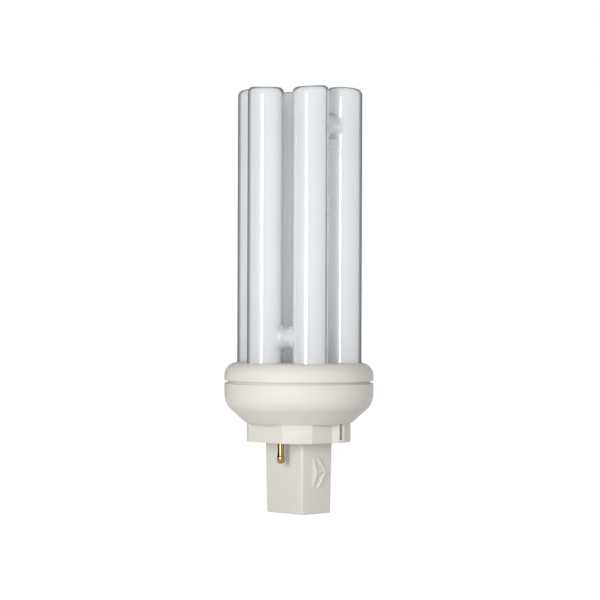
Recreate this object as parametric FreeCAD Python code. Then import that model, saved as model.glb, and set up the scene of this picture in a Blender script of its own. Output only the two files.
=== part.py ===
import FreeCAD, Part
import math
import os
from FreeCAD import Vector

# Two-pin compact fluorescent lamp, upright on the flat end of its plug post.
# Millimetres. +Z runs up the lamp axis, and the origin is the middle of the post's end face.
# The contact pins stand in front of the -Y and +Y faces, the grip arrows are on the -X and +X faces.

os.makedirs("parts", exist_ok=True)

# Glass discharge tube: six legs in a ring, joined in a zigzag by short bridge tubes
leg_count = 6
leg_radius = 5.8
leg_gap = 3.4
leg_height = 88.8
leg_top_slant = 4.0
leg_shoulder = 2.3
leg_end_rounding = 4.0
bridge_radius = 3.4
bridge_flare = 0.8
top_bridge_drop = 13.4
bottom_bridge_rise = 8.4
pinch_width = 9.0
pinch_thickness = 3.0
pinch_height = 4.0
pinch_edge = 0.75
pinch_lead_spacing = 4.0

# Plug: rectangular post, keyed plate
post_length = 23.1
post_draft = 0.35
post_corner = 1.0
post_end_edge = 0.3
post_wall = 1.5
post_inner_corner = 0.4
plate_height = 6.1
plate_floor = 1.8
plate_wall = 1.2
plate_flat_depth = 2.03
plate_ledge = 0.5

# Key rib on the flats that face +X and -X
key_rise = 1.6
key_start = 0.7
key_ramp = 1.7
key_width = 4.2
key_slot_width = 1.6
key_slot_start = 2.62
key_slot_depth = 1.5
key_lip = 1.0

# Grip arrows on the post: a barbed head with a straight back, a bent barb before it and a tie between them.
# Each barb's ridge and front are measured from its own back, at its ends and at its bend.
grip_low = 8.5
grip_middle = 13.5
grip_high = 17.9
grip_rise = 0.85
grip_back = -2.2
head_ridge_end = 0.25
head_ridge_bend = 1.7
head_front_end = 0.7
head_front_bend = 3.2
head_end_rise = 0.3
barb_pitch = 2.0
barb_back_bend = 2.9
barb_ridge_end = 0.35
barb_ridge_bend = 3.4
barb_front_end = 1.7
barb_front_bend = 4.6
barb_end_rise = 0.7
grip_tie_width = 0.9
grip_tie_rise = 0.55
grip_seat = 0.05

# Base bowl and the cover over it, with a shadow groove between
bowl_cone_angle = 47.5
bowl_corner = 6.0
bowl_wall = 1.6
bowl_rim_height = 3.88
groove_height = 0.8
groove_depth = 1.2
spigot_height = 1.7
spigot_wall = 1.2
spigot_clearance = 0.3
cover_height = 5.9
cover_wall = 1.8
cover_shoulder = 4.2
cover_deck = 1.6
leg_hole_clearance = 0.2
snap_clearance = 0.1
cement_thickness = 2.4

# Contact pins
pin_spacing = 24.0
pin_angle = 18.2
pin_radius = 1.0
pin_bulb_radius = 1.17
pin_bulb_length = 2.64
pin_nose = 0.94
pin_neck = 0.5
pin_exposed = 6.6
pin_head_radius = 1.4
pin_head_height = 0.7
pin_clearance = 0.03

# Starter, capacitor and leads inside the base
starter_radius = 4.1
starter_height = 18.0
starter_shoulder = 1.5
starter_neck_height = 1.6
starter_lead_spacing = 3.0
capacitor_thickness = 4.4
capacitor_height = 8.5
capacitor_edge = 0.8
fitting_clearance = 0.2
side_clearance = 0.95
partition_thickness = 0.8
partition_clearance = 0.1
partition_reach = 1.6
partition_height = 12.0
lead_radius = 0.45
lead_bend = 1.3
lead_wall_clearance = 0.8
lead_run_fall = 1.0
lead_drop_height = 3.6
capacitor_lead_radius = 0.3
solder_gap = 0.05
sleeve_wall = 0.3
sleeve_length = 2.4
sleeve_clearance = 0.05
sleeve_to_bend = 0.3

# Levels and radii that follow from the values above
ring_radius = (2 * leg_radius + leg_gap) / (2 * math.sin(math.pi / leg_count))
spigot_inner_radius = ring_radius + leg_radius + spigot_clearance
spigot_radius = spigot_inner_radius + spigot_wall
cover_inner_radius = spigot_radius + snap_clearance
cap_radius = cover_inner_radius + cover_wall
neck_radius = cap_radius - groove_depth
cavity_radius = pin_spacing / 2 + pin_head_radius + fitting_clearance
plate_across_flats = 2 * (cavity_radius + plate_wall)
plate_radius = plate_across_flats / 2 + plate_flat_depth
cone_radius = plate_radius + plate_ledge
cone_slope = math.tan(math.radians(bowl_cone_angle))
cone_inset = bowl_wall / math.cos(math.radians(bowl_cone_angle))
plate_bottom = post_length
plate_top = plate_bottom + plate_height
floor_top = plate_bottom + plate_floor
ledge_top = plate_top + plate_wall
bowl_wall_start = (plate_top + (cap_radius - cone_radius) / cone_slope
                   + bowl_corner * math.tan(math.radians(bowl_cone_angle / 2)))
groove_bottom = bowl_wall_start + bowl_rim_height
cover_bottom = groove_bottom + groove_height
cover_top = cover_bottom + cover_height
deck_bottom = cover_top - cover_deck
cement_bottom = deck_bottom - cement_thickness
spigot_top = cover_bottom + spigot_height
leg_top = cover_top + leg_height
overlap = 0.5

# The leads turn inwards above the bowl's inner cone and its ledge, and the legs end above their sleeves
seal_reach = math.hypot(ring_radius, pinch_lead_spacing / 2) + lead_radius
cone_under_seal = plate_top + (seal_reach - cone_radius + cone_inset) / cone_slope
run_height = max(cone_under_seal, ledge_top + lead_radius) + lead_wall_clearance
pinch_bottom = run_height + lead_bend + sleeve_to_bend + sleeve_length
leg_end = pinch_bottom + pinch_height

# The post's inner room holds the starter and the capacitor side by side, with a partition between
capacitor_width = 2 * starter_radius
starter_neck_radius = starter_radius - starter_shoulder
partition_room = partition_thickness + 2 * partition_clearance
inner_half_width = starter_radius + (partition_room + capacitor_thickness) / 2 + fitting_clearance
inner_half_depth = starter_radius + side_clearance
post_width = 2 * (inner_half_width + post_wall)
post_depth = 2 * (inner_half_depth + post_wall)
starter_x = -inner_half_width + fitting_clearance + starter_radius
partition_x = starter_x + starter_radius + partition_room / 2
capacitor_x = inner_half_width - fitting_clearance - capacitor_thickness / 2


def export(shape, name):
    if not shape.isValid():
        raise ValueError(name + " is not a valid solid")
    shape.exportStep("parts/" + name + ".step")
    print(name, "solids", len(shape.Solids), "volume", round(shape.Volume, 1))


def line(start, end):
    return Part.LineSegment(start, end).toShape()


def arc(start, middle, end):
    return Part.Arc(start, middle, end).toShape()


def polygon(points):
    return Part.makePolygon(points + [points[0]])


def turned(edges):
    """Revolve a closed outline, drawn in the XZ plane, about the lamp axis."""
    face = Part.Face(Part.Wire(edges))
    return face.revolve(Vector(0, 0, 0), Vector(0, 0, 1), 360)


def turned_polygon(points):
    corners = [Vector(radius, 0, height) for radius, height in points]
    return Part.Face(polygon(corners)).revolve(Vector(0, 0, 0), Vector(0, 0, 1), 360)


def half_turn(shape):
    copy = shape.copy()
    copy.rotate(Vector(0, 0, 0), Vector(0, 0, 1), 180)
    return copy


def leg_direction(index):
    angle = 2 * math.pi * index / leg_count
    return Vector(math.sin(angle), -math.cos(angle), 0)


def leg_centre(index):
    return leg_direction(index) * ring_radius


def top_partner(index):
    """Legs 1 and 2, 3 and 4, 5 and 0 are joined at the top."""
    return (index + 1) % leg_count if index % 2 else (index - 1) % leg_count


def leg(index):
    centre = leg_centre(index)
    blank_height = leg_top + leg_radius - leg_end
    shape = Part.makeCylinder(leg_radius, blank_height, centre + Vector(0, 0, leg_end))
    towards = leg_centre(top_partner(index)) - centre
    towards.normalize()
    side = 4 * leg_radius
    block = Part.makeBox(side, side, side, Vector(-side / 2, -side / 2, 0))
    block.rotate(Vector(0, 0, 0), Vector(towards.y, -towards.x, 0), leg_top_slant)
    slant_rise = leg_radius * math.tan(math.radians(leg_top_slant))
    block.translate(centre + Vector(0, 0, leg_top - slant_rise / 2))
    shape = shape.cut(block)
    top_edge = max(shape.Edges, key=lambda edge: edge.CenterOfMass.z)
    shape = shape.makeFillet(leg_shoulder, [top_edge])
    end_edge = min(shape.Edges, key=lambda edge: edge.CenterOfMass.z)
    return shape.makeFillet(leg_end_rounding, [end_edge])


def bridge(first, second, height):
    start = leg_centre(first) + Vector(0, 0, height)
    span = leg_centre(second) - leg_centre(first)
    return Part.makeCylinder(bridge_radius, span.Length, start, span)


def pinch_seal(index):
    """Flattened end of a leg, where the two leads of an electrode come out."""
    block = Part.makeBox(pinch_thickness, pinch_width, pinch_height + leg_end_rounding / 2,
                         Vector(-pinch_thickness / 2, -pinch_width / 2, pinch_bottom))
    block = block.makeFillet(pinch_edge, [edge for edge in block.Edges if is_upright(edge)])
    block.rotate(Vector(0, 0, 0), Vector(0, 0, 1), 360 * index / leg_count - 90)
    block.translate(leg_centre(index))
    return block


def is_upright(edge):
    ends = [vertex.Point for vertex in edge.Vertexes]
    return len(ends) == 2 and (ends[1] - ends[0]).cross(Vector(0, 0, 1)).Length < 1e-6


def is_bridge_joint(edge, bridges):
    """True for an edge where one of the bridge tubes meets a leg."""
    if isinstance(edge.Curve, Part.Line):
        return False
    samples = edge.discretize(7)
    for first, second, height in bridges:
        start = leg_centre(first) + Vector(0, 0, height)
        along = leg_centre(second) - leg_centre(first)
        along.normalize()
        distances = [(point - start).cross(along).Length for point in samples]
        if max(abs(distance - bridge_radius) for distance in distances) < 1e-3:
            return True
    return False


def discharge_tube():
    top_level = leg_top - top_bridge_drop
    bottom_level = cover_top + bottom_bridge_rise
    bridges = [(1, 2, top_level), (3, 4, top_level), (5, 0, top_level),
               (0, 1, bottom_level), (2, 3, bottom_level)]
    shape = leg(0).multiFuse([leg(index) for index in range(1, leg_count)]
                             + [bridge(*item) for item in bridges])
    joints = [edge for edge in shape.Edges if is_bridge_joint(edge, bridges)]
    print("bridge joints", len(joints))
    shape = shape.makeFillet(bridge_flare, joints)
    shape = shape.multiFuse([pinch_seal(index) for index in electrode_legs()])
    return shape.removeSplitter().Solids[0]


def electrode_legs():
    """The arc starts in one of these legs and ends in the other."""
    return [5, 4]


def top_cover():
    bend = Vector(cap_radius - cover_shoulder, 0, cover_top - cover_shoulder)
    middle = bend + Vector(1, 0, 1) * (cover_shoulder / math.sqrt(2))
    outline = [Vector(cover_inner_radius, 0, cover_bottom), Vector(cap_radius, 0, cover_bottom),
               Vector(cap_radius, 0, bend.z), Vector(bend.x, 0, cover_top), Vector(0, 0, cover_top),
               Vector(0, 0, deck_bottom), Vector(cover_inner_radius, 0, deck_bottom)]
    edges = [line(outline[0], outline[1]), line(outline[1], outline[2]),
             arc(outline[2], middle, outline[3])]
    edges += [line(outline[index], outline[(index + 1) % 7]) for index in range(3, 7)]
    shape = turned(edges)
    for index in range(leg_count):
        shape = shape.cut(Part.makeCylinder(leg_radius + leg_hole_clearance, cover_top,
                                            leg_centre(index)))
    return shape


def tube_cement(glass):
    disc = Part.makeCylinder(spigot_radius, cement_thickness, Vector(0, 0, cement_bottom))
    return disc.cut(glass).Solids[0]


def rounded_rectangle(width, depth, corner, height):
    face = Part.Face(polygon([Vector(-width / 2, -depth / 2, height), Vector(width / 2, -depth / 2, height),
                              Vector(width / 2, depth / 2, height), Vector(-width / 2, depth / 2, height)]))
    block = face.extrude(Vector(0, 0, 1))
    block = block.makeFillet(corner, [edge for edge in block.Edges if is_upright(edge)])
    bottom = min(block.Faces, key=lambda item: item.CenterOfMass.z)
    return bottom.OuterWire


def post_width_at(height):
    return post_width + 2 * post_draft * height / post_length


def post_form(inset, low, high):
    """Tapered block inside the post's skin, or the skin itself with no inset."""
    sections = []
    for height in (low, high):
        grown = 2 * post_draft * height / post_length - 2 * inset
        corner = post_inner_corner if inset else post_corner
        sections.append(rounded_rectangle(post_width + grown, post_depth + grown, corner, height))
    return Part.makeLoft(sections, True, True)


def barb(back, ridge, front, end_rise):
    """Moulded barb on the post's +X face. Each pair holds the Y at the two ends and at the bend."""
    heights = (grip_high, grip_middle, grip_low)
    rises = (end_rise, grip_rise, end_rise)
    skin = [post_width_at(height) / 2 for height in heights]
    backs = [Vector(x - grip_seat, y, z) for x, y, z in zip(skin, (back[0], back[1], back[0]), heights)]
    fronts = [Vector(x - grip_seat, y, z) for x, y, z in zip(skin, (front[0], front[1], front[0]), heights)]
    ridges = [Vector(x + rise, y, z)
              for x, rise, y, z in zip(skin, rises, (ridge[0], ridge[1], ridge[0]), heights)]
    rim = backs + fronts[::-1]
    root = [Vector(skin[1] - overlap, point.y, point.z) for point in rim]
    facets = [root, [backs[0], ridges[0], fronts[0]], [backs[2], ridges[2], fronts[2]]]
    for end in (0, 2):
        facets += [[backs[end], backs[1], ridges[1]], [backs[end], ridges[1], ridges[end]],
                   [fronts[end], fronts[1], ridges[1]], [fronts[end], ridges[1], ridges[end]]]
    for index in range(6):
        following = (index + 1) % 6
        facets.append([rim[index], rim[following], root[following], root[index]])
    solid = Part.Solid(Part.Shell([Part.Face(polygon(facet)) for facet in facets]))
    if solid.Volume < 0:
        solid.reverse()
    return solid


def grip_arrow():
    """Two barbs and their tie, pointing to +Y, on the +X face of the post."""
    head_ridge = (grip_back + head_ridge_end, grip_back + head_ridge_bend)
    head = barb((grip_back, grip_back), head_ridge,
                (grip_back + head_front_end, grip_back + head_front_bend), head_end_rise)
    back = grip_back + barb_pitch
    bent = barb((back, back + barb_back_bend), (back + barb_ridge_end, back + barb_ridge_bend),
                (back + barb_front_end, back + barb_front_bend), barb_end_rise)
    inside = post_width_at(grip_middle) / 2 - overlap
    tie = Part.makeBox(overlap + grip_tie_rise, back + barb_ridge_bend - head_ridge[1], grip_tie_width,
                       Vector(inside, head_ridge[1], grip_middle - grip_tie_width / 2))
    return head.multiFuse([bent, tie])


def key_rib():
    """Raised key with a ramp on one side and a slot that stops above its lip."""
    flat = plate_across_flats / 2
    outer = flat + key_rise
    inside = flat - overlap
    outline = [(inside, key_start), (flat, key_start), (outer, key_start + key_ramp),
               (outer, key_start + key_width), (inside, key_start + key_width)]
    face = Part.Face(polygon([Vector(x, y, plate_bottom) for x, y in outline]))
    rib = face.extrude(Vector(0, 0, plate_height + overlap))
    slot = Part.makeBox(key_slot_depth + overlap, key_slot_width, plate_height - key_lip,
                        Vector(outer - key_slot_depth, key_slot_start, plate_bottom + key_lip))
    return rib, slot


def plug_plate():
    disc = Part.makeCylinder(plate_radius, plate_height, Vector(0, 0, plate_bottom))
    side = plate_across_flats
    return disc.common(Part.makeBox(side, side, plate_height, Vector(-side / 2, -side / 2, plate_bottom)))


def bowl():
    """Outside of the bowl: cone, rounded corner, wall, groove neck and the spigot inside the cover."""
    centre = Vector(cap_radius - bowl_corner, 0, bowl_wall_start)
    turn = math.radians(bowl_cone_angle)
    cone_end = centre + Vector(math.cos(turn), 0, -math.sin(turn)) * bowl_corner
    wall_start = Vector(cap_radius, 0, centre.z)
    middle = centre + Vector(math.cos(turn / 2), 0, -math.sin(turn / 2)) * bowl_corner
    points = [Vector(cap_radius, 0, groove_bottom), Vector(neck_radius, 0, groove_bottom),
              Vector(neck_radius, 0, cover_bottom), Vector(spigot_radius, 0, cover_bottom),
              Vector(spigot_radius, 0, spigot_top), Vector(0, 0, spigot_top),
              Vector(0, 0, plate_top), Vector(cone_radius, 0, plate_top)]
    edges = [line(Vector(cone_radius, 0, plate_top), cone_end), arc(cone_end, middle, wall_start),
             line(wall_start, points[0])]
    edges += [line(points[index], points[index + 1]) for index in range(7)]
    return turned(edges)


def base_cavity():
    """Room inside the bowl and plate for the seals, leads, starter and capacitor."""
    inner_wall = cap_radius - bowl_wall
    cone_start = cone_radius - cone_inset + plate_wall * cone_slope
    cone_high = plate_top + (inner_wall - cone_radius + cone_inset) / cone_slope
    step = groove_bottom - bowl_wall
    return turned_polygon([(0, floor_top), (cavity_radius, floor_top), (cavity_radius, ledge_top),
                           (cone_start, ledge_top), (inner_wall, cone_high), (inner_wall, step),
                           (spigot_inner_radius, step + bowl_wall),
                           (spigot_inner_radius, spigot_top + overlap), (0, spigot_top + overlap)])


def pin_places():
    angle = math.radians(pin_angle)
    front = Vector(math.sin(angle), -math.cos(angle), 0) * (pin_spacing / 2)
    return {"front": front, "rear": front * -1}


def starter_partition(side):
    """Rib on an inner wall of the post that keeps the starter and the capacitor apart."""
    low = -inner_half_depth - overlap if side < 0 else inner_half_depth - partition_reach
    return Part.makeBox(partition_thickness, partition_reach + overlap, partition_height,
                        Vector(partition_x - partition_thickness / 2, low, post_wall))


def base_housing():
    post = post_form(0, 0, plate_bottom + overlap)
    end_edges = [edge for edge in post.Edges if edge.BoundBox.ZMax < 1e-6]
    post = post.makeChamfer(post_end_edge, end_edges)
    rib, slot = key_rib()
    arrow = grip_arrow()
    shape = bowl().multiFuse([plug_plate(), post, rib, half_turn(rib), arrow, half_turn(arrow)])
    shape = shape.cut(slot).cut(half_turn(slot))
    shape = shape.cut(base_cavity()).cut(post_form(post_wall, post_wall, floor_top + overlap))
    for place in pin_places().values():
        shape = shape.cut(Part.makeCylinder(pin_radius + pin_clearance, plate_floor + overlap,
                                            place + Vector(0, 0, plate_bottom)))
    shape = shape.multiFuse([starter_partition(-1), starter_partition(1)])
    return shape.removeSplitter().Solids[0]


def contact_pin(place):
    """Brass pin with a blunt bulb at its free end and a rivet head on the plate's floor."""
    tip = plate_bottom - pin_exposed
    bulb_top = tip + pin_bulb_length
    centre = Vector(pin_bulb_radius - pin_nose, 0, tip + pin_nose)
    blunt_end = centre - Vector(0, 0, pin_nose)
    edges = [line(Vector(0, 0, tip), blunt_end),
             arc(blunt_end, centre + Vector(1, 0, -1) * (pin_nose / math.sqrt(2)),
                 centre + Vector(pin_nose, 0, 0))]
    points = [(pin_bulb_radius, tip + pin_nose), (pin_bulb_radius, bulb_top - pin_neck),
              (pin_radius, bulb_top), (pin_radius, floor_top), (pin_head_radius, floor_top),
              (pin_head_radius, floor_top + pin_head_height), (0, floor_top + pin_head_height), (0, tip)]
    corners = [Vector(radius, 0, height) for radius, height in points]
    edges += [line(corners[index], corners[index + 1]) for index in range(len(corners) - 1)]
    shape = turned(edges)
    shape.translate(place)
    return shape


def glow_starter():
    """Sealed glass starter bottle with a pressed neck, standing on the post's floor."""
    neck_bottom = post_wall + starter_height
    shape = Part.makeCylinder(starter_radius, starter_height, Vector(starter_x, 0, post_wall))
    shoulder = [edge for edge in shape.Edges if edge.BoundBox.ZMin > neck_bottom - 1e-3]
    shape = shape.makeFillet(starter_shoulder, shoulder)
    neck = Part.makeCylinder(starter_neck_radius, starter_neck_height + overlap,
                             Vector(starter_x, 0, neck_bottom - overlap))
    return shape.fuse(neck).removeSplitter().Solids[0]


def starter_top():
    return post_wall + starter_height + starter_neck_height


def path_wire(points, bend):
    """Straight runs joined by tangent arcs."""
    edges = []
    start = points[0]
    for before, corner, after in zip(points, points[1:], points[2:]):
        back = before - corner
        ahead = after - corner
        back.normalize()
        ahead.normalize()
        turn = math.pi - back.getAngle(ahead)
        trim = bend * math.tan(turn / 2)
        bisector = back + ahead
        bisector.normalize()
        centre = corner + bisector * (bend / math.cos(turn / 2))
        middle = centre - bisector * bend
        edges.append(line(start, corner + back * trim))
        edges.append(arc(corner + back * trim, middle, corner + ahead * trim))
        start = corner + ahead * trim
    edges.append(line(start, points[-1]))
    return Part.Wire(edges)


def wire_solid(points, bend, radius):
    path = path_wire(points, bend)
    direction = points[1] - points[0]
    section = Part.Wire(Part.makeCircle(radius, points[0], direction))
    shape = path.makePipeShell([section], True, False)
    expected = math.pi * radius ** 2 * path.Length
    print("lead length", round(path.Length, 2), "volume ratio", round(shape.Volume / expected, 4))
    return shape.Solids[0]


def seal_lead_places(index):
    """The two points where leads leave a pinch seal: the pin's lead, then the starter's lead."""
    outward = leg_direction(index)
    along = Vector(-outward.y, outward.x, 0) * (pinch_lead_spacing / 2)
    places = [leg_centre(index) + along, leg_centre(index) - along]
    places.sort(key=lambda place: -abs(place.y))
    return [place + Vector(0, 0, pinch_bottom) for place in places]


def lead_points(start, end):
    return [start, Vector(start.x, start.y, run_height),
            Vector(end.x, end.y, max(run_height - lead_run_fall, end.z + lead_drop_height)), end]


def suppression_capacitor():
    """Dipped film capacitor beside the starter, with two leads up to the starter's leads."""
    block = Part.makeBox(capacitor_thickness, capacitor_width, capacitor_height,
                         Vector(capacitor_x - capacitor_thickness / 2, -capacitor_width / 2, post_wall))
    block = block.makeFillet(capacitor_edge, block.Edges)
    pieces = []
    joint_height = starter_top() + 2 * lead_radius
    for side in (-1, 1):
        y = side * starter_lead_spacing / 2
        end_x = starter_x + lead_radius + solder_gap
        points = [Vector(capacitor_x, y, post_wall + capacitor_height - overlap),
                  Vector(capacitor_x, y, joint_height), Vector(end_x, y, joint_height)]
        pieces.append(wire_solid(points, lead_bend, capacitor_lead_radius))
    return block.multiFuse(pieces).Solids[0]


def lead_sleeve(place):
    outer = Part.makeCylinder(lead_radius + sleeve_clearance + sleeve_wall, sleeve_length,
                              place - Vector(0, 0, sleeve_length))
    return outer.cut(Part.makeCylinder(lead_radius + sleeve_clearance, sleeve_length,
                                       place - Vector(0, 0, sleeve_length)))


def leads():
    """Two leads run to the contact pins and two to the starter, each with a sleeve at its seal."""
    pins = pin_places()
    pieces = {}
    for side, name, index in ((-1, "front", 5), (1, "rear", 4)):
        pin_end = pins[name] + Vector(0, 0, floor_top + pin_head_height)
        starter_end = Vector(starter_x, side * starter_lead_spacing / 2, starter_top())
        for target, start, end in zip(("pin", "starter"), seal_lead_places(index),
                                      (pin_end, starter_end)):
            label = name + "_" + target
            pieces[label + "_lead"] = wire_solid(lead_points(start, end), lead_bend, lead_radius)
            pieces[label + "_lead_sleeve"] = lead_sleeve(start)
    return pieces


glass = discharge_tube()
export(glass, "discharge_tube")
export(tube_cement(glass), "tube_cement")
export(top_cover(), "top_cover")
export(base_housing(), "base_housing")
for side, place in pin_places().items():
    export(contact_pin(place), side + "_contact_pin")
export(glow_starter(), "glow_starter")
export(suppression_capacitor(), "suppression_capacitor")
for name, shape in leads().items():
    export(shape, name)
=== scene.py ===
import math

import bmesh
import bpy
from mathutils import Matrix, Vector


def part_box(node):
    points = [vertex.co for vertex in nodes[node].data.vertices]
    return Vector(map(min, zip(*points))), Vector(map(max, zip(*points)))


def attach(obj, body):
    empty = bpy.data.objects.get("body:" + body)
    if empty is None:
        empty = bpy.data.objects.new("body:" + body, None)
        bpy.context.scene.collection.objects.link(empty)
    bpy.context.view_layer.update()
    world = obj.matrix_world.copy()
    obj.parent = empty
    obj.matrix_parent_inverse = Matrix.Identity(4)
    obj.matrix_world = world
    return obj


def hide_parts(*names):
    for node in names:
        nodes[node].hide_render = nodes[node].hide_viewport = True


# Plug-in compact fluorescent bulb, standing on the end of its post in a white studio.
# The dictionaries hold millimetres and degrees, and mm turns a length into metres.

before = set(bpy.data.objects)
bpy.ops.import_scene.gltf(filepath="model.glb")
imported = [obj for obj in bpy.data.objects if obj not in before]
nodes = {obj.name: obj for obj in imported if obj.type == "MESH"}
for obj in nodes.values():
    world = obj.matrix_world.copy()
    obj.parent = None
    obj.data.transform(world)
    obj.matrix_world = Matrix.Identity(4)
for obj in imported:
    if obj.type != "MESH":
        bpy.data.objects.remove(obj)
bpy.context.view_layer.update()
mm = 0.001
print("frame loaded:", len(nodes), "nodes")


# Camera

view = {
    "azimuth": 46.6,
    "distance": 800,
    "height": 70.9,
    "focalPixels": 2462,
    "imageWidth": 600,
    "axisAt": 299.2,
    "horizonAt": 294,
    "roll": 0.2,
}


def turnedRound(angle, distance, height=0.0):
    # a place by its angle round the lamp, where 0 is -Y and 90 is +X
    turn = math.radians(angle)
    return Vector((distance * math.sin(turn), -distance * math.cos(turn), height))


def addCamera():
    camera = bpy.data.cameras.new("photoCamera")
    camera.sensor_width = 36
    camera.lens = camera.sensor_width * view["focalPixels"] / view["imageWidth"]
    middle = view["imageWidth"] / 2
    camera.shift_x = (middle - view["axisAt"]) / view["imageWidth"]
    camera.shift_y = (view["horizonAt"] - middle) / view["imageWidth"]
    camera.clip_start = 0.01
    holder = bpy.data.objects.new("photoCamera", camera)
    holder.location = turnedRound(view["azimuth"], view["distance"] * mm, view["height"] * mm)
    facing = Matrix.Rotation(math.radians(view["azimuth"]), 4, "Z")
    level = Matrix.Rotation(math.radians(90), 4, "X")
    lean = Matrix.Rotation(math.radians(view["roll"]), 4, "Z")
    holder.rotation_euler = (facing @ level @ lean).to_euler()
    bpy.context.scene.collection.objects.link(holder)
    bpy.context.scene.camera = holder
    print("camera at", [round(value, 3) for value in holder.location])


addCamera()


# Shader helpers

class Wire:
    # a socket that can stand in a sum
    def __init__(self, finish, socket):
        self.finish = finish
        self.socket = socket

    def maths(self, operation, first, second):
        return self.finish.maths(operation, first, second)

    def __add__(self, other):
        return self.maths("ADD", self, other)

    def __radd__(self, other):
        return self.maths("ADD", other, self)

    def __sub__(self, other):
        return self.maths("SUBTRACT", self, other)

    def __rsub__(self, other):
        return self.maths("SUBTRACT", other, self)

    def __mul__(self, other):
        return self.maths("MULTIPLY", self, other)

    def __rmul__(self, other):
        return self.maths("MULTIPLY", other, self)

    def larger(self, other):
        return self.maths("MAXIMUM", self, other)


class Finish:
    def __init__(self, tree):
        self.tree = tree
        tree.nodes.clear()

    def node(self, kind, settings=None, sockets=None, output=0):
        made = self.tree.nodes.new(kind)
        for name, value in (settings or {}).items():
            if name == "stops":
                self.setStops(made.color_ramp, value)
            else:
                setattr(made, name, value)
        for name, value in (sockets or {}).items():
            if isinstance(value, Wire):
                self.tree.links.new(value.socket, made.inputs[name])
            else:
                made.inputs[name].default_value = value
        return Wire(self, made.outputs[output]) if made.outputs else made

    def setStops(self, ramp, stops):
        while len(ramp.elements) < len(stops):
            ramp.elements.new(1.0)
        for element, (position, shade) in zip(ramp.elements, stops):
            element.position = position
            element.color = shade

    def maths(self, operation, first, second=0.0):
        return self.node("ShaderNodeMath", {"operation": operation}, {0: first, 1: second})

    def place(self):
        return self.node("ShaderNodeTexCoord", output="Object")

    def noise(self, size, detail=2.0):
        # size is the width of a patch in millimetres
        return self.node("ShaderNodeTexNoise", None,
                         {"Vector": self.place(), "Scale": 1 / (size * mm), "Detail": detail})

    def blend(self, amount, first, second):
        return self.node("ShaderNodeMix", {"data_type": "RGBA"}, {0: amount, 6: first, 7: second}, 2)

    def bump(self, height, strength, depth):
        return self.node("ShaderNodeBump", None,
                         {"Height": height, "Strength": strength, "Distance": depth * mm})

    def surface(self, sockets):
        return self.node("ShaderNodeBsdfPrincipled", None, sockets)


def newFinish(name, build):
    material = bpy.data.materials.new(name)
    material.use_nodes = True
    finish = Finish(material.node_tree)
    finish.node("ShaderNodeOutputMaterial", None, {"Surface": build(finish)})
    return material


# Finishes

glassLook = {
    "coat": (0.86, 0.875, 0.885, 1),
    "thinCoat": (0.845, 0.863, 0.875, 1),
    "patch": 9,
    "roughness": 0.06,
    "ior": 1.5,
    "passedLight": 0.46,
    "innerWall": (0.8, 0.82, 0.84, 1),
    "rim": ((0.0, (0.04, 0.04, 0.04, 1)), (0.4, (0.06, 0.06, 0.06, 1)), (0.56, (0.56, 0.56, 0.56, 1)),
            (1.0, (0.75, 0.75, 0.75, 1))),
}
bridgeLook = {
    "roughness": 0.24,
    "bareFrom": -0.72,
    "bareTo": -0.96,
    "lowHeight": 70,
    "highHeight": 100,
    "upperBare": 0.35,
    "clear": (0.97, 0.985, 0.99, 1),
    "film": (0.93, 0.95, 0.96, 1),
    "filmPatch": 2,
    "clearRoughness": 0.12,
    "clearIor": 1.35,
    "clearShare": 0.72,
}


def coatedWall(finish, roughness):
    # glossy glass over a white coat that lets some light through
    colour = finish.blend(finish.noise(glassLook["patch"], 3), glassLook["coat"], glassLook["thinCoat"])
    wall = finish.surface({"Base Color": colour, "Roughness": roughness, "IOR": glassLook["ior"]})
    glow = finish.node("ShaderNodeBsdfTranslucent", None, {"Color": glassLook["coat"]})
    return finish.node("ShaderNodeMixShader", None, {0: glassLook["passedLight"], 1: wall, 2: glow})


def phosphorGlass(finish):
    # the clear wall over the coat mirrors the room once more, strongly where it is seen edge on
    mirror = finish.node("ShaderNodeBsdfGlossy", None,
                         {"Color": glassLook["innerWall"], "Roughness": glassLook["roughness"]})
    edgeOn = finish.node("ShaderNodeLayerWeight", None, {"Blend": 0.5}, "Facing")
    outside = 1 - finish.node("ShaderNodeNewGeometry", output="Backfacing")
    share = outside * finish.node("ShaderNodeValToRGB", {"stops": glassLook["rim"]}, {"Fac": edgeOn})
    wall = coatedWall(finish, glassLook["roughness"])
    return finish.node("ShaderNodeMixShader", None, {0: share, 1: wall, 2: mirror})


def bridgeGlass(finish):
    # coated like the legs where it meets them, barer half way between two legs, the low bridges most
    place = finish.place()
    along, across, height = (finish.node("ShaderNodeSeparateXYZ", None, {0: place}, axis) for axis in "XYZ")
    legWave = finish.maths("COSINE", 6 * finish.maths("ARCTAN2", along, across))
    bare = finish.node("ShaderNodeMapRange", {"interpolation_type": "SMOOTHSTEP"},
                       {"Value": legWave, "From Min": bridgeLook["bareFrom"], "From Max": bridgeLook["bareTo"]})
    low = finish.node("ShaderNodeMapRange", None,
                      {"Value": height, "From Min": bridgeLook["lowHeight"] * mm,
                       "From Max": bridgeLook["highHeight"] * mm,
                       "To Min": 1.0, "To Max": bridgeLook["upperBare"]})
    film = finish.noise(bridgeLook["filmPatch"], 2)
    clear = finish.surface({"Base Color": finish.blend(film, bridgeLook["clear"], bridgeLook["film"]),
                            "Roughness": bridgeLook["clearRoughness"], "IOR": bridgeLook["clearIor"],
                            "Transmission Weight": bridgeLook["clearShare"]})
    wall = coatedWall(finish, bridgeLook["roughness"])
    return finish.node("ShaderNodeMixShader", None, {0: bare * low, 1: wall, 2: clear})


plasticLook = {
    "colour": (0.683, 0.659, 0.62, 1),
    "shade": (0.668, 0.641, 0.602, 1),
    "patch": 14,
    "roughness": 0.55,
    "shine": 0.3,
    "grain": 0.35,
    "grainDepth": 0.01,
}


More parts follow.
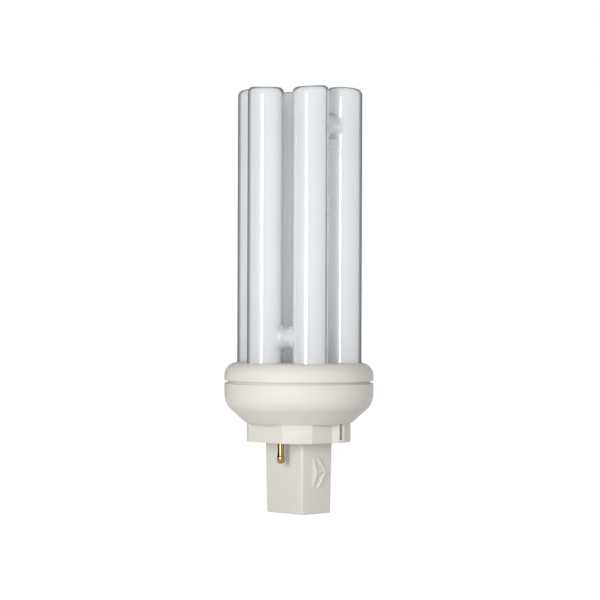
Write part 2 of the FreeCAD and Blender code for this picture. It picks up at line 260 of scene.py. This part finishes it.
def basePlastic(finish):
    patches = finish.noise(plasticLook["patch"], 3)
    grain = finish.noise(plasticLook["grain"], 2)
    return finish.surface({
        "Base Color": finish.blend(patches, plasticLook["colour"], plasticLook["shade"]),
        "Roughness": plasticLook["roughness"] + 0.08 * patches,
        "Specular IOR Level": plasticLook["shine"],
        "Normal": finish.bump(grain, 0.25, plasticLook["grainDepth"]),
    })


def pinBrass(finish):
    patches = finish.noise(1.5, 4)
    return finish.surface({
        "Base Color": finish.blend(patches, (0.37, 0.262, 0.12, 1), (0.26, 0.175, 0.07, 1)),
        "Metallic": 1.0,
        "Roughness": 0.07 + 0.1 * patches,
    })


def cementFinish(finish):
    grain = finish.noise(0.6, 4)
    return finish.surface({
        "Base Color": finish.blend(grain, (0.80, 0.79, 0.76, 1), (0.66, 0.65, 0.61, 1)),
        "Roughness": 0.85,
        "Normal": finish.bump(grain, 0.6, 0.08),
    })


def starterGlass(finish):
    film = finish.noise(3, 2)
    return finish.surface({
        "Base Color": finish.blend(film, (0.72, 0.76, 0.76, 1), (0.60, 0.65, 0.66, 1)),
        "Roughness": 0.05,
        "IOR": 1.5,
        "Coat Weight": 0.5,
    })


def capacitorResin(finish):
    drips = finish.noise(2.5, 3)
    return finish.surface({
        "Base Color": finish.blend(drips, (0.50, 0.13, 0.05, 1), (0.40, 0.09, 0.04, 1)),
        "Roughness": 0.18 + 0.12 * drips,
        "Normal": finish.bump(drips, 0.3, 0.05),
    })


def tinnedWire(finish):
    drawn = finish.noise(0.3, 3)
    return finish.surface({
        "Base Color": finish.blend(drawn, (0.74, 0.73, 0.70, 1), (0.62, 0.61, 0.59, 1)),
        "Metallic": 1.0,
        "Roughness": 0.25 + 0.15 * drawn,
    })


def sleeveFibre(finish):
    weave = finish.node("ShaderNodeTexWave", {"bands_direction": "DIAGONAL"},
                        {"Vector": finish.place(), "Scale": 1 / (0.8 * mm), "Distortion": 1.0})
    return finish.surface({
        "Base Color": finish.blend(weave, (0.78, 0.76, 0.70, 1), (0.60, 0.57, 0.50, 1)),
        "Roughness": 0.8,
        "Normal": finish.bump(weave, 0.5, 0.05),
    })


hiddenFinishes = {
    "tube_cement": newFinish("tubeCement", cementFinish),
    "glow_starter": newFinish("starterGlass", starterGlass),
    "suppression_capacitor": newFinish("capacitorResin", capacitorResin),
}
wireFinish = newFinish("tinnedWire", tinnedWire)
sleeveFinish = newFinish("sleeveFibre", sleeveFibre)
for end in ("front_pin", "front_starter", "rear_pin", "rear_starter"):
    hiddenFinishes[end + "_lead"] = wireFinish
    hiddenFinishes[end + "_lead_sleeve"] = sleeveFinish
for nodeName, material in hiddenFinishes.items():
    nodes[nodeName].data.materials.clear()
    nodes[nodeName].data.materials.append(material)
print("finishes made, and", len(hiddenFinishes), "inner pieces dressed")


# Mesh helpers

creaseAngle = 32  # faces that meet at more than this are shaded apart


def addOutline(bm, points, roundings, closed=False):
    # points are (radius, height); roundings gives the radius at the point of that number
    corners = [bm.verts.new((radius * mm, 0, height * mm)) for radius, height in points]
    pairs = list(zip(corners, corners[1:]))
    if closed:
        pairs.append((corners[-1], corners[0]))
    for pair in pairs:
        bm.edges.new(pair)
    count = len(corners)
    for number, (radius, steps) in roundings.items():
        here = corners[number]
        back = (corners[number - 1].co - here.co).normalized()
        ahead = (corners[(number + 1) % count].co - here.co).normalized()
        reach = radius * mm / math.tan(back.angle(ahead) / 2)
        roundings[number] = (here, reach, steps)
    for here, reach, steps in roundings.values():
        bmesh.ops.bevel(bm, geom=[here], offset=reach, offset_type="OFFSET", segments=steps,
                        profile=0.5, affect="VERTICES", material=-1)


def spinRound(bm, steps):
    bmesh.ops.spin(bm, geom=bm.verts[:] + bm.edges[:], cent=(0, 0, 0), axis=(0, 0, 1), dvec=(0, 0, 0),
                   angle=2 * math.pi, steps=steps, use_merge=True, use_duplicate=False)


def roundEdges(bm, edges, radius, steps):
    bmesh.ops.bevel(bm, geom=edges, offset=radius * mm, offset_type="OFFSET", segments=steps,
                    profile=0.5, affect="EDGES", material=-1)


def sharpEdges(bm, angle=20):
    return [edge for edge in bm.edges
            if len(edge.link_faces) == 2 and edge.calc_face_angle() > math.radians(angle)]


def cutLevel(bm, height):
    bmesh.ops.bisect_plane(bm, geom=bm.verts[:] + bm.edges[:] + bm.faces[:], dist=0.001 * mm,
                           plane_co=(0, 0, height), plane_no=(0, 0, 1))


def moveShell(bm, place=(0, 0, 0), turn=0.0):
    bmesh.ops.rotate(bm, cent=(0, 0, 0), matrix=Matrix.Rotation(math.radians(turn), 3, "Z"), verts=bm.verts)
    bmesh.ops.translate(bm, vec=place, verts=bm.verts)


def keepShell(bm):
    # merged, turned outwards and kept as a mesh until its piece is made
    bmesh.ops.remove_doubles(bm, verts=bm.verts, dist=0.0005 * mm)
    bmesh.ops.recalc_face_normals(bm, faces=bm.faces)
    mesh = bpy.data.meshes.new("shell")
    bm.to_mesh(mesh)
    bm.free()
    return mesh


def makePiece(name, shells, material, replaced):
    bm = bmesh.new()
    for shell in shells:
        bm.from_mesh(shell)
        bpy.data.meshes.remove(shell)
    mesh = bpy.data.meshes.new(name)
    bm.to_mesh(mesh)
    bm.free()
    mesh.materials.append(material)
    mesh.shade_smooth()
    mesh.set_sharp_from_angle(angle=math.radians(creaseAngle))
    piece = bpy.data.objects.new(name, mesh)
    bpy.context.scene.collection.objects.link(piece)
    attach(piece, "root")
    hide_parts(replaced)
    print(name, "made of", len(shells), "shells,", len(mesh.polygons), "faces")
    return piece


# Discharge tube

tube = {
    "legs": 6,
    "radius": 5.8,
    "shoulder": 1.8,
    "topSlant": 4.0,
    "endRounding": 4.0,
    "supportDrop": 1.5,
    "sides": 96,
    "capRings": (0.5, 1.0, 1.2),
    "neckRadius": 3.4,
    "neckBore": 2.5,
    "neckFlare": 0.8,
    "neckSink": 0.4,
    "neckSides": 64,
    "topNeckDrop": 12.6,
    "lowNeckRise": 8.4,
    "topNecks": ((1, 2), (3, 4), (5, 0)),
    "lowNecks": ((0, 1), (2, 3)),
    "sealedLegs": (5, 4),
    "sealWidth": 9.0,
    "sealThickness": 3.0,
    "sealHeight": 4.0,
    "sealEdge": 0.75,
}
tubeLow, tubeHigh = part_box("discharge_tube")
coverLow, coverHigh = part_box("top_cover")
ringRadius = tubeHigh.y - tube["radius"] * mm


def legPlace(index):
    return turnedRound(index * 360 / tube["legs"], ringRadius)


def topPartner(index):
    step = 1 if index % 2 else -1
    return (index + step) % tube["legs"]


def rimEdges(bm, height):
    return [edge for edge in sharpEdges(bm) if all(abs(vert.co.z - height) < 0.01 * mm for vert in edge.verts)]


def legShell(index):
    bm = bmesh.new()
    radius = tube["radius"] * mm
    slope = math.tan(math.radians(tube["topSlant"]))
    foot = tubeLow.z + tube["sealHeight"] * mm
    top = tubeHigh.z - (tube["radius"] - tube["shoulder"]) * mm * slope
    bmesh.ops.create_cone(bm, cap_ends=True, segments=tube["sides"], radius1=radius, radius2=radius,
                          depth=top - foot, matrix=Matrix.Translation((0, 0, (top + foot) / 2)))
    roundEdges(bm, rimEdges(bm, top), tube["shoulder"], 10)
    roundEdges(bm, rimEdges(bm, foot), tube["endRounding"], 8)
    shoulderStart = top - tube["shoulder"] * mm
    # a ring below each bend keeps the long wall's shading straight
    cutLevel(bm, shoulderStart - tube["supportDrop"] * mm)
    cutLevel(bm, foot + (tube["endRounding"] + tube["supportDrop"]) * mm)
    for width in tube["capRings"]:
        cap = max(bm.faces, key=lambda face: (len(face.verts), face.calc_center_median().z))
        bmesh.ops.inset_region(bm, faces=[cap], thickness=width * mm, use_even_offset=True)
    towards = (legPlace(topPartner(index)) - legPlace(index)).normalized()
    for vert in bm.verts:
        if vert.co.z > shoulderStart - 0.01 * mm:
            vert.co.z += vert.co.dot(towards) * slope
    moveShell(bm, legPlace(index))
    return keepShell(bm)


def sealShell(index):
    # flattened end of an electrode leg
    bm = bmesh.new()
    bmesh.ops.create_cube(bm, size=1.0)
    height = (tube["sealHeight"] + tube["endRounding"] / 2) * mm
    bmesh.ops.scale(bm, vec=(tube["sealThickness"] * mm, tube["sealWidth"] * mm, height), verts=bm.verts)
    upright = [edge for edge in bm.edges if abs(edge.verts[0].co.z - edge.verts[1].co.z) > height / 2]
    roundEdges(bm, upright, tube["sealEdge"], 4)
    turn = index * 360 / tube["legs"] - 90
    moveShell(bm, legPlace(index) + Vector((0, 0, tubeLow.z + height / 2)), turn)
    return keepShell(bm)


def neckShell(first, second, height):
    # trumpet-ended bridge, seated on the round walls of two legs
    bm = bmesh.new()
    start = legPlace(first)
    along = legPlace(second) - start
    near = tube["radius"]
    far = along.length / mm - near
    sink = tube["neckSink"]
    lip = tube["neckRadius"] + tube["neckFlare"] * 1.02
    points = [(tube["neckBore"], near - sink), (lip, near - sink), (lip, near), (tube["neckRadius"], near),
              (tube["neckRadius"], far), (lip, far), (lip, far + sink), (tube["neckBore"], far + sink)]
    addOutline(bm, points, {3: (tube["neckFlare"], 8), 4: (tube["neckFlare"], 8)}, closed=True)
    spinRound(bm, tube["neckSides"])
    for vert in bm.verts:
        fall = near * mm - math.sqrt((near * mm) ** 2 - vert.co.x ** 2)
        vert.co.z += fall if vert.co.z > along.length / 2 else -fall
    side = Vector((0, 0, 1)).cross(along).normalized()
    lie = Matrix((side, Vector((0, 0, 1)), along.normalized())).transposed()
    bmesh.ops.rotate(bm, cent=(0, 0, 0), matrix=lie, verts=bm.verts)
    bmesh.ops.translate(bm, vec=start + Vector((0, 0, height)), verts=bm.verts)
    return keepShell(bm)


legShells = [legShell(index) for index in range(tube["legs"])]
legShells += [sealShell(index) for index in tube["sealedLegs"]]
topNeckHeight = tubeHigh.z - tube["topNeckDrop"] * mm
lowNeckHeight = coverHigh.z + tube["lowNeckRise"] * mm
neckShells = [neckShell(first, second, topNeckHeight) for first, second in tube["topNecks"]]
neckShells += [neckShell(first, second, lowNeckHeight) for first, second in tube["lowNecks"]]
makePiece("dischargeLegs", legShells, newFinish("phosphorGlass", phosphorGlass),
          "discharge_tube")
makePiece("bridgeNecks", neckShells, newFinish("bridgeGlass", bridgeGlass),
          "discharge_tube")


# Base

base = {
    "plateAboveTips": 6.6,
    "plateRadius": 16.83,
    "plateAcrossFlats": 29.6,
    "coneRadius": 17.33,
    "plateHeight": 6.1,
    "plateHidden": 0.6,
    "postHidden": 0.5,
    "drillDepth": 10,
    "plateEdge": 0.15,
    "coneAngle": 47.5,
    "bowlCorner": 6.0,
    "bowlSides": 144,
    "grooveHeight": 0.8,
    "grooveDepth": 1.2,
    "lipEdge": 0.22,
    "postWidth": 17.0,
    "postDepth": 13.1,
    "postDraft": 0.35,
    "postCorner": 1.0,
    "postEndEdge": 0.3,
    "coverShoulder": 4.2,
    "coverWall": 1.8,
    "coverDeck": 1.6,
    "holeClearance": 0.2,
}
keyRib = {
    "rise": 1.6,
    "start": 0.7,
    "ramp": 1.7,
    "width": 4.2,
    "slotStart": 2.62,
    "slotWidth": 1.6,
    "slotDepth": 1.5,
    "lip": 1.0,
    "edge": 0.08,
    "overlap": 0.5,
    "lipLap": 0.05,
    "lipSink": 0.1,
}
gripArrow = {
    "low": 8.5,
    "middle": 13.5,
    "high": 17.9,
    "rise": 0.85,
    "overlap": 0.5,
    "seat": 0.05,
    "edge": 0.12,
    "tieWidth": 0.9,
    "tieRise": 0.55,
}
# each barb's back, ridge and front along Y, first at its ends and then at its bend
gripBarbs = (
    {"back": (-2.2, -2.2), "ridge": (-1.95, -0.5), "front": (-1.5, 1.0), "endRise": 0.3},
    {"back": (-0.2, 2.7), "ridge": (0.15, 3.2), "front": (1.5, 4.4), "endRise": 0.7},
)
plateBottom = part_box("front_contact_pin")[0].z / mm + base["plateAboveTips"]
plateTop = plateBottom + base["plateHeight"]
capRadius = coverHigh.x / mm
coverBottom = coverLow.z / mm
coverTop = coverHigh.z / mm


def bowlShell():
    bm = bmesh.new()
    rim = coverBottom - base["grooveHeight"]
    knee = plateTop + (capRadius - base["coneRadius"]) / math.tan(math.radians(base["coneAngle"]))
    neck = capRadius - base["grooveDepth"]
    points = [(0, plateTop), (base["coneRadius"], plateTop), (capRadius, knee), (capRadius, rim),
              (neck, rim), (neck, coverBottom + 1), (0, coverBottom + 1)]
    addOutline(bm, points, {2: (base["bowlCorner"], 10), 3: (base["lipEdge"], 4)})
    spinRound(bm, base["bowlSides"])
    return keepShell(bm)


def plateShell():
    bm = bmesh.new()
    depth = (base["plateHeight"] + base["plateHidden"]) * mm
    bmesh.ops.create_cone(bm, cap_ends=True, segments=base["bowlSides"], radius1=base["plateRadius"] * mm,
                          radius2=base["plateRadius"] * mm, depth=depth,
                          matrix=Matrix.Translation((0, 0, plateBottom * mm + depth / 2)))
    for angle in (0, 90, 180, 270):
        outward = turnedRound(angle, 1.0)
        cut = bmesh.ops.bisect_plane(bm, geom=bm.verts[:] + bm.edges[:] + bm.faces[:], dist=0.0001 * mm,
                                     plane_co=outward * base["plateAcrossFlats"] / 2 * mm,
                                     plane_no=outward, clear_outer=True)
        rim = [item for item in cut["geom_cut"] if isinstance(item, bmesh.types.BMEdge)]
        bmesh.ops.edgeloop_fill(bm, edges=rim)
    roundEdges(bm, sharpEdges(bm), base["plateEdge"], 3)
    return keepShell(bm)


def postShell():
    bm = bmesh.new()
    bmesh.ops.create_cube(bm, size=1.0)
    length = plateBottom + base["postHidden"]
    grown = 2 * base["postDraft"] * length / plateBottom
    bmesh.ops.scale(bm, vec=(base["postWidth"] * mm, base["postDepth"] * mm, length * mm), verts=bm.verts)
    bmesh.ops.translate(bm, vec=(0, 0, length / 2 * mm), verts=bm.verts)
    upper = [vert for vert in bm.verts if vert.co.z > length / 2 * mm]
    widen = (1 + grown / base["postWidth"], 1 + grown / base["postDepth"], 1)
    bmesh.ops.scale(bm, vec=widen, verts=upper)
    upright = [edge for edge in bm.edges if abs(edge.verts[0].co.z - edge.verts[1].co.z) > length / 2 * mm]
    roundEdges(bm, upright, base["postCorner"], 6)
    roundEdges(bm, rimEdges(bm, 0), base["postEndEdge"], 3)
    return keepShell(bm)


def raiseFace(bm, face):
    # a new face over the old one, joined to it by walls
    grown = bmesh.ops.extrude_face_region(bm, geom=[face], use_keep_orig=False)
    return [item for item in grown["geom"] if isinstance(item, bmesh.types.BMVert)]


def keyShells(turn):
    flat = base["plateAcrossFlats"] / 2
    outer = flat + keyRib["rise"]
    inside = flat - keyRib["overlap"]
    start = keyRib["start"]
    finish = start + keyRib["width"]
    slotLow = keyRib["slotStart"]
    slotHigh = slotLow + keyRib["slotWidth"]
    slotFloor = outer - keyRib["slotDepth"]
    outline = [(inside, start), (flat, start), (outer, start + keyRib["ramp"]), (outer, slotLow),
               (slotFloor, slotLow), (slotFloor, slotHigh), (outer, slotHigh), (outer, finish),
               (inside, finish)]
    lipFloor = slotFloor - keyRib["lipSink"]
    lipLow = slotLow - keyRib["lipLap"]
    lipHigh = slotHigh + keyRib["lipLap"]
    lip = [(lipFloor, lipLow), (outer, lipLow), (outer, lipHigh), (lipFloor, lipHigh)]
    shells = []
    for points, height in ((outline, base["plateHeight"] + keyRib["rise"]), (lip, keyRib["lip"])):
        bm = bmesh.new()
        corners = [bm.verts.new((x * mm, y * mm, plateBottom * mm)) for x, y in points]
        grown = bmesh.ops.extrude_face_region(bm, geom=[bm.faces.new(corners)], use_keep_orig=True)
        upper = [item for item in grown["geom"] if isinstance(item, bmesh.types.BMVert)]
        bmesh.ops.translate(bm, vec=(0, 0, height * mm), verts=upper)
        bmesh.ops.recalc_face_normals(bm, faces=bm.faces)
        if points is outline:
            roundEdges(bm, sharpEdges(bm), keyRib["edge"], 2)
        moveShell(bm, turn=turn)
        shells.append(keepShell(bm))
    return shells


def arrowShells(turn):
    shells = []
    slope = base["postDraft"] / plateBottom
    heights = (gripArrow["high"], gripArrow["middle"], gripArrow["low"])
    skin = [base["postWidth"] / 2 + slope * height for height in heights]
    for barb in gripBarbs:
        bm = bmesh.new()
        rim = [(barb[side][end % 2], heights[end]) for side, end in
               (("back", 0), ("back", 1), ("back", 2), ("front", 2), ("front", 1), ("front", 0))]
        corners = [bm.verts.new(((skin[1] - gripArrow["overlap"]) * mm, y * mm, z * mm)) for y, z in rim]
        raised = raiseFace(bm, bm.faces.new(corners))
        for vert in raised:
            end = min(range(3), key=lambda index: abs(heights[index] * mm - vert.co.z))
            vert.co.x = (skin[end] - gripArrow["seat"]) * mm
        crown = [face for face in bm.faces if all(vert in raised for vert in face.verts)]
        for vert in raiseFace(bm, crown[0]):
            end = min(range(3), key=lambda index: abs(heights[index] * mm - vert.co.z))
            rise = gripArrow["rise"] if end == 1 else barb["endRise"]
            vert.co = ((skin[end] + rise) * mm, barb["ridge"][end % 2] * mm, heights[end] * mm)
        bmesh.ops.delete(bm, geom=[face for face in crown if face.is_valid], context="FACES_ONLY")
        bmesh.ops.remove_doubles(bm, verts=bm.verts, dist=0.001 * mm)
        bmesh.ops.recalc_face_normals(bm, faces=bm.faces)
        ridge = [edge for edge in sharpEdges(bm)
                 if all(vert.co.x > (skin[2] + 0.1) * mm for vert in edge.verts)]
        roundEdges(bm, ridge, gripArrow["edge"], 2)
        moveShell(bm, turn=turn)
        shells.append(keepShell(bm))
    bm = bmesh.new()
    near = gripBarbs[0]["ridge"][1]
    far = gripBarbs[1]["ridge"][1]
    bmesh.ops.create_cube(bm, size=1.0)
    bmesh.ops.scale(bm, vec=(2 * gripArrow["tieRise"] * mm, (far - near) * mm, gripArrow["tieWidth"] * mm),
                    verts=bm.verts)
    bmesh.ops.translate(bm, vec=(skin[1] * mm, (far + near) / 2 * mm, gripArrow["middle"] * mm), verts=bm.verts)
    roundEdges(bm, sharpEdges(bm), gripArrow["edge"], 2)
    moveShell(bm, turn=turn)
    shells.append(keepShell(bm))
    return shells


def coverShell():
    bm = bmesh.new()
    inner = capRadius - base["coverWall"]
    deck = coverTop - base["coverDeck"]
    points = [(0, deck), (inner, deck), (inner, coverBottom), (capRadius, coverBottom), (capRadius, coverTop),
              (0, coverTop)]
    addOutline(bm, points, {3: (base["lipEdge"], 4), 4: (base["coverShoulder"], 14)})
    spinRound(bm, base["bowlSides"])
    return keepShell(bm)


def drillCover(piece):
    bm = bmesh.new()
    radius = (tube["radius"] + base["holeClearance"]) * mm
    for index in range(tube["legs"]):
        drill = Matrix.Translation(legPlace(index) + Vector((0, 0, coverTop * mm)))
        bmesh.ops.create_cone(bm, cap_ends=True, segments=tube["sides"], radius1=radius, radius2=radius,
                              depth=base["drillDepth"] * mm, matrix=drill)
    mesh = bpy.data.meshes.new("legDrills")
    bm.to_mesh(mesh)
    bm.free()
    drills = bpy.data.objects.new("legDrills", mesh)
    bpy.context.scene.collection.objects.link(drills)
    cut = piece.modifiers.new("legHoles", "BOOLEAN")
    cut.operation = "DIFFERENCE"
    cut.solver = "EXACT"
    cut.object = drills
    bpy.context.view_layer.update()
    drilled = bpy.data.meshes.new_from_object(piece.evaluated_get(bpy.context.evaluated_depsgraph_get()))
    piece.modifiers.clear()
    old = piece.data
    piece.data = drilled
    bpy.data.meshes.remove(old)
    bpy.data.objects.remove(drills)
    drilled.set_sharp_from_angle(angle=math.radians(creaseAngle))
    print("cover drilled:", len(drilled.polygons), "faces")


plastic = newFinish("basePlastic", basePlastic)
baseShells = [bowlShell(), plateShell(), postShell()]
for turn in (0, 180):
    baseShells += keyShells(turn) + arrowShells(turn)
makePiece("baseHousing", baseShells, plastic, "base_housing")
drillCover(makePiece("topCover", [coverShell()], plastic, "top_cover"))


# Contact pins

pin = {
    "radius": 1.08,
    "bulbRadius": 1.26,
    "bulbLength": 2.64,
    "nose": 0.94,
    "neck": 0.5,
    "smallEdge": 0.2,
    "headRadius": 1.6,
    "headHeight": 0.7,
    "sides": 48,
}


def pinShell(nodeName):
    bm = bmesh.new()
    low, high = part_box(nodeName)
    tip = low.z / mm
    top = high.z / mm
    seat = top - pin["headHeight"]
    bulbTop = tip + pin["bulbLength"]
    points = [(0, tip), (pin["bulbRadius"], tip), (pin["bulbRadius"], bulbTop - pin["neck"]),
              (pin["radius"], bulbTop), (pin["radius"], seat), (pin["headRadius"], seat),
              (pin["headRadius"], top), (0, top)]
    small = (pin["smallEdge"], 3)
    addOutline(bm, points, {1: (pin["nose"], 8), 2: small, 3: small, 6: small})
    spinRound(bm, pin["sides"])
    middle = (low + high) / 2
    moveShell(bm, (middle.x, middle.y, 0))
    return keepShell(bm)


brass = newFinish("pinBrass", pinBrass)
makePiece("frontPin", [pinShell("front_contact_pin")], brass, "front_contact_pin")
makePiece("rearPin", [pinShell("rear_contact_pin")], brass, "rear_contact_pin")


# Studio

studio = {
    "levelAbove": 0.27,
    "levelAround": 0.68,
    "stripAt": 23,
    "stripDistance": 280,
    "stripMiddle": 80,
    "stripWidth": 72,
    "stripHeight": 160,
    "stripPower": 0.48,
    "fillAt": 103,
    "fillDistance": 600,
    "fillSize": 400,
    "fillPower": 0.8,
    "backAt": 215,
    "backPower": 0.8,
    "flagRadius": 450,
    "flagHeight": 75,
    "flagFrom": 106,
    "cardAt": -78,
    "cardWidth": 480,
    "cardHeight": 420,
    "flagShade": (0.02, 0.022, 0.025, 1),
    "floorShown": 0.92,
    "floorStrength": 1.07,
    "floorMatt": (0.8, 0.8, 0.8, 1),
    "floorRadius": 6000,
}


def whiteRays(finish):
    # the camera, gloss and glass all see white where nothing stands
    seen = finish.node("ShaderNodeLightPath", output="Is Camera Ray")
    glossy = finish.node("ShaderNodeLightPath", output="Is Glossy Ray")
    through = finish.node("ShaderNodeLightPath", output="Is Transmission Ray")
    return seen.larger(glossy).larger(through)


def addWorld():
    world = bpy.data.worlds.new("whiteStudio")
    world.use_nodes = True
    bpy.context.scene.world = world
    finish = Finish(world.node_tree)
    direction = finish.node("ShaderNodeTexCoord", output="Generated")
    steepness = finish.node("ShaderNodeSeparateXYZ", None, {0: direction}, "Z").larger(0.0)
    soft = studio["levelAround"] - (studio["levelAround"] - studio["levelAbove"]) * steepness
    level = soft.larger(whiteRays(finish))
    light = finish.node("ShaderNodeBackground", None, {"Color": (1, 1, 1, 1), "Strength": level})
    finish.node("ShaderNodeOutputWorld", None, {"Surface": light})


def addSoftbox(name, angle, distance, height, width, tall, power):
    lamp = bpy.data.lights.new(name, "AREA")
    lamp.shape = "RECTANGLE"
    lamp.size = width * mm
    lamp.size_y = tall * mm
    lamp.energy = power
    holder = bpy.data.objects.new(name, lamp)
    holder.location = turnedRound(angle, distance * mm, height * mm)
    towards = Vector((0, 0, height * mm)) - holder.location
    holder.rotation_euler = towards.to_track_quat("-Z", "Y").to_euler()
    bpy.context.scene.collection.objects.link(holder)
    return holder


def stagePiece(name, bm, material):
    mesh = bpy.data.meshes.new(name)
    bm.to_mesh(mesh)
    bm.free()
    mesh.materials.append(material)
    piece = bpy.data.objects.new(name, mesh)
    bpy.context.scene.collection.objects.link(piece)
    return piece


def floorFinish(finish):
    white = finish.node("ShaderNodeEmission", None,
                        {"Color": (1, 1, 1, 1), "Strength": studio["floorStrength"]})
    matt = finish.node("ShaderNodeBsdfDiffuse", None, {"Color": studio["floorMatt"]})
    shown = studio["floorShown"] * whiteRays(finish)
    return finish.node("ShaderNodeMixShader", None, {0: shown, 1: matt, 2: white})


def addFloor():
    bm = bmesh.new()
    bmesh.ops.create_circle(bm, cap_ends=True, segments=64, radius=studio["floorRadius"] * mm)
    stagePiece("studioFloor", bm, newFinish("floorWhite", floorFinish))


def flagFinish(finish):
    return finish.node("ShaderNodeEmission", None, {"Color": studio["flagShade"], "Strength": 1.0})


def showInGlossOnly(piece):
    piece.visible_camera = False
    piece.visible_diffuse = False
    piece.visible_shadow = False
    piece.visible_transmission = False


def addCard(material):
    # dark card to the left of the strip light
    bm = bmesh.new()
    bmesh.ops.create_grid(bm, x_segments=1, y_segments=1, size=0.5)
    bmesh.ops.scale(bm, vec=(studio["cardWidth"] * mm, studio["cardHeight"] * mm, 1), verts=bm.verts)
    bmesh.ops.rotate(bm, cent=(0, 0, 0), matrix=Matrix.Rotation(math.radians(90), 3, "X"), verts=bm.verts)
    angle = view["azimuth"] + studio["cardAt"]
    moveShell(bm, turnedRound(angle, studio["flagRadius"] * mm, studio["cardHeight"] / 2 * mm), angle)
    showInGlossOnly(stagePiece("darkCard", bm, material))


def addFlag(material):
    # dark bowl behind the lamp that draws a line along the glass edges, as black cards do
    bm = bmesh.new()
    bmesh.ops.create_uvsphere(bm, u_segments=48, v_segments=24, radius=studio["flagRadius"] * mm)
    away = turnedRound(view["azimuth"] + 180, 1.0)
    edge = -math.cos(math.radians(studio["flagFrom"])) * studio["flagRadius"] * mm
    bmesh.ops.bisect_plane(bm, geom=bm.verts[:] + bm.edges[:] + bm.faces[:], plane_co=away * edge,
                           plane_no=away, clear_inner=True)
    bmesh.ops.translate(bm, vec=(0, 0, studio["flagHeight"] * mm), verts=bm.verts)
    showInGlossOnly(stagePiece("darkFlag", bm, material))


addWorld()
addFloor()
flagDark = newFinish("flagDark", flagFinish)
addFlag(flagDark)
addCard(flagDark)
addSoftbox("stripLight", studio["stripAt"], studio["stripDistance"], studio["stripMiddle"],
           studio["stripWidth"], studio["stripHeight"], studio["stripPower"])
for name, angle, power in (("fillLight", studio["fillAt"], studio["fillPower"]),
                           ("backLight", studio["backAt"], studio["backPower"])):
    soft = addSoftbox(name, angle, studio["fillDistance"], studio["fillSize"] / 2, studio["fillSize"],
                      studio["fillSize"], power)
    soft.visible_glossy = False
print("studio lit")

bpy.context.scene.view_settings.view_transform = "Standard"
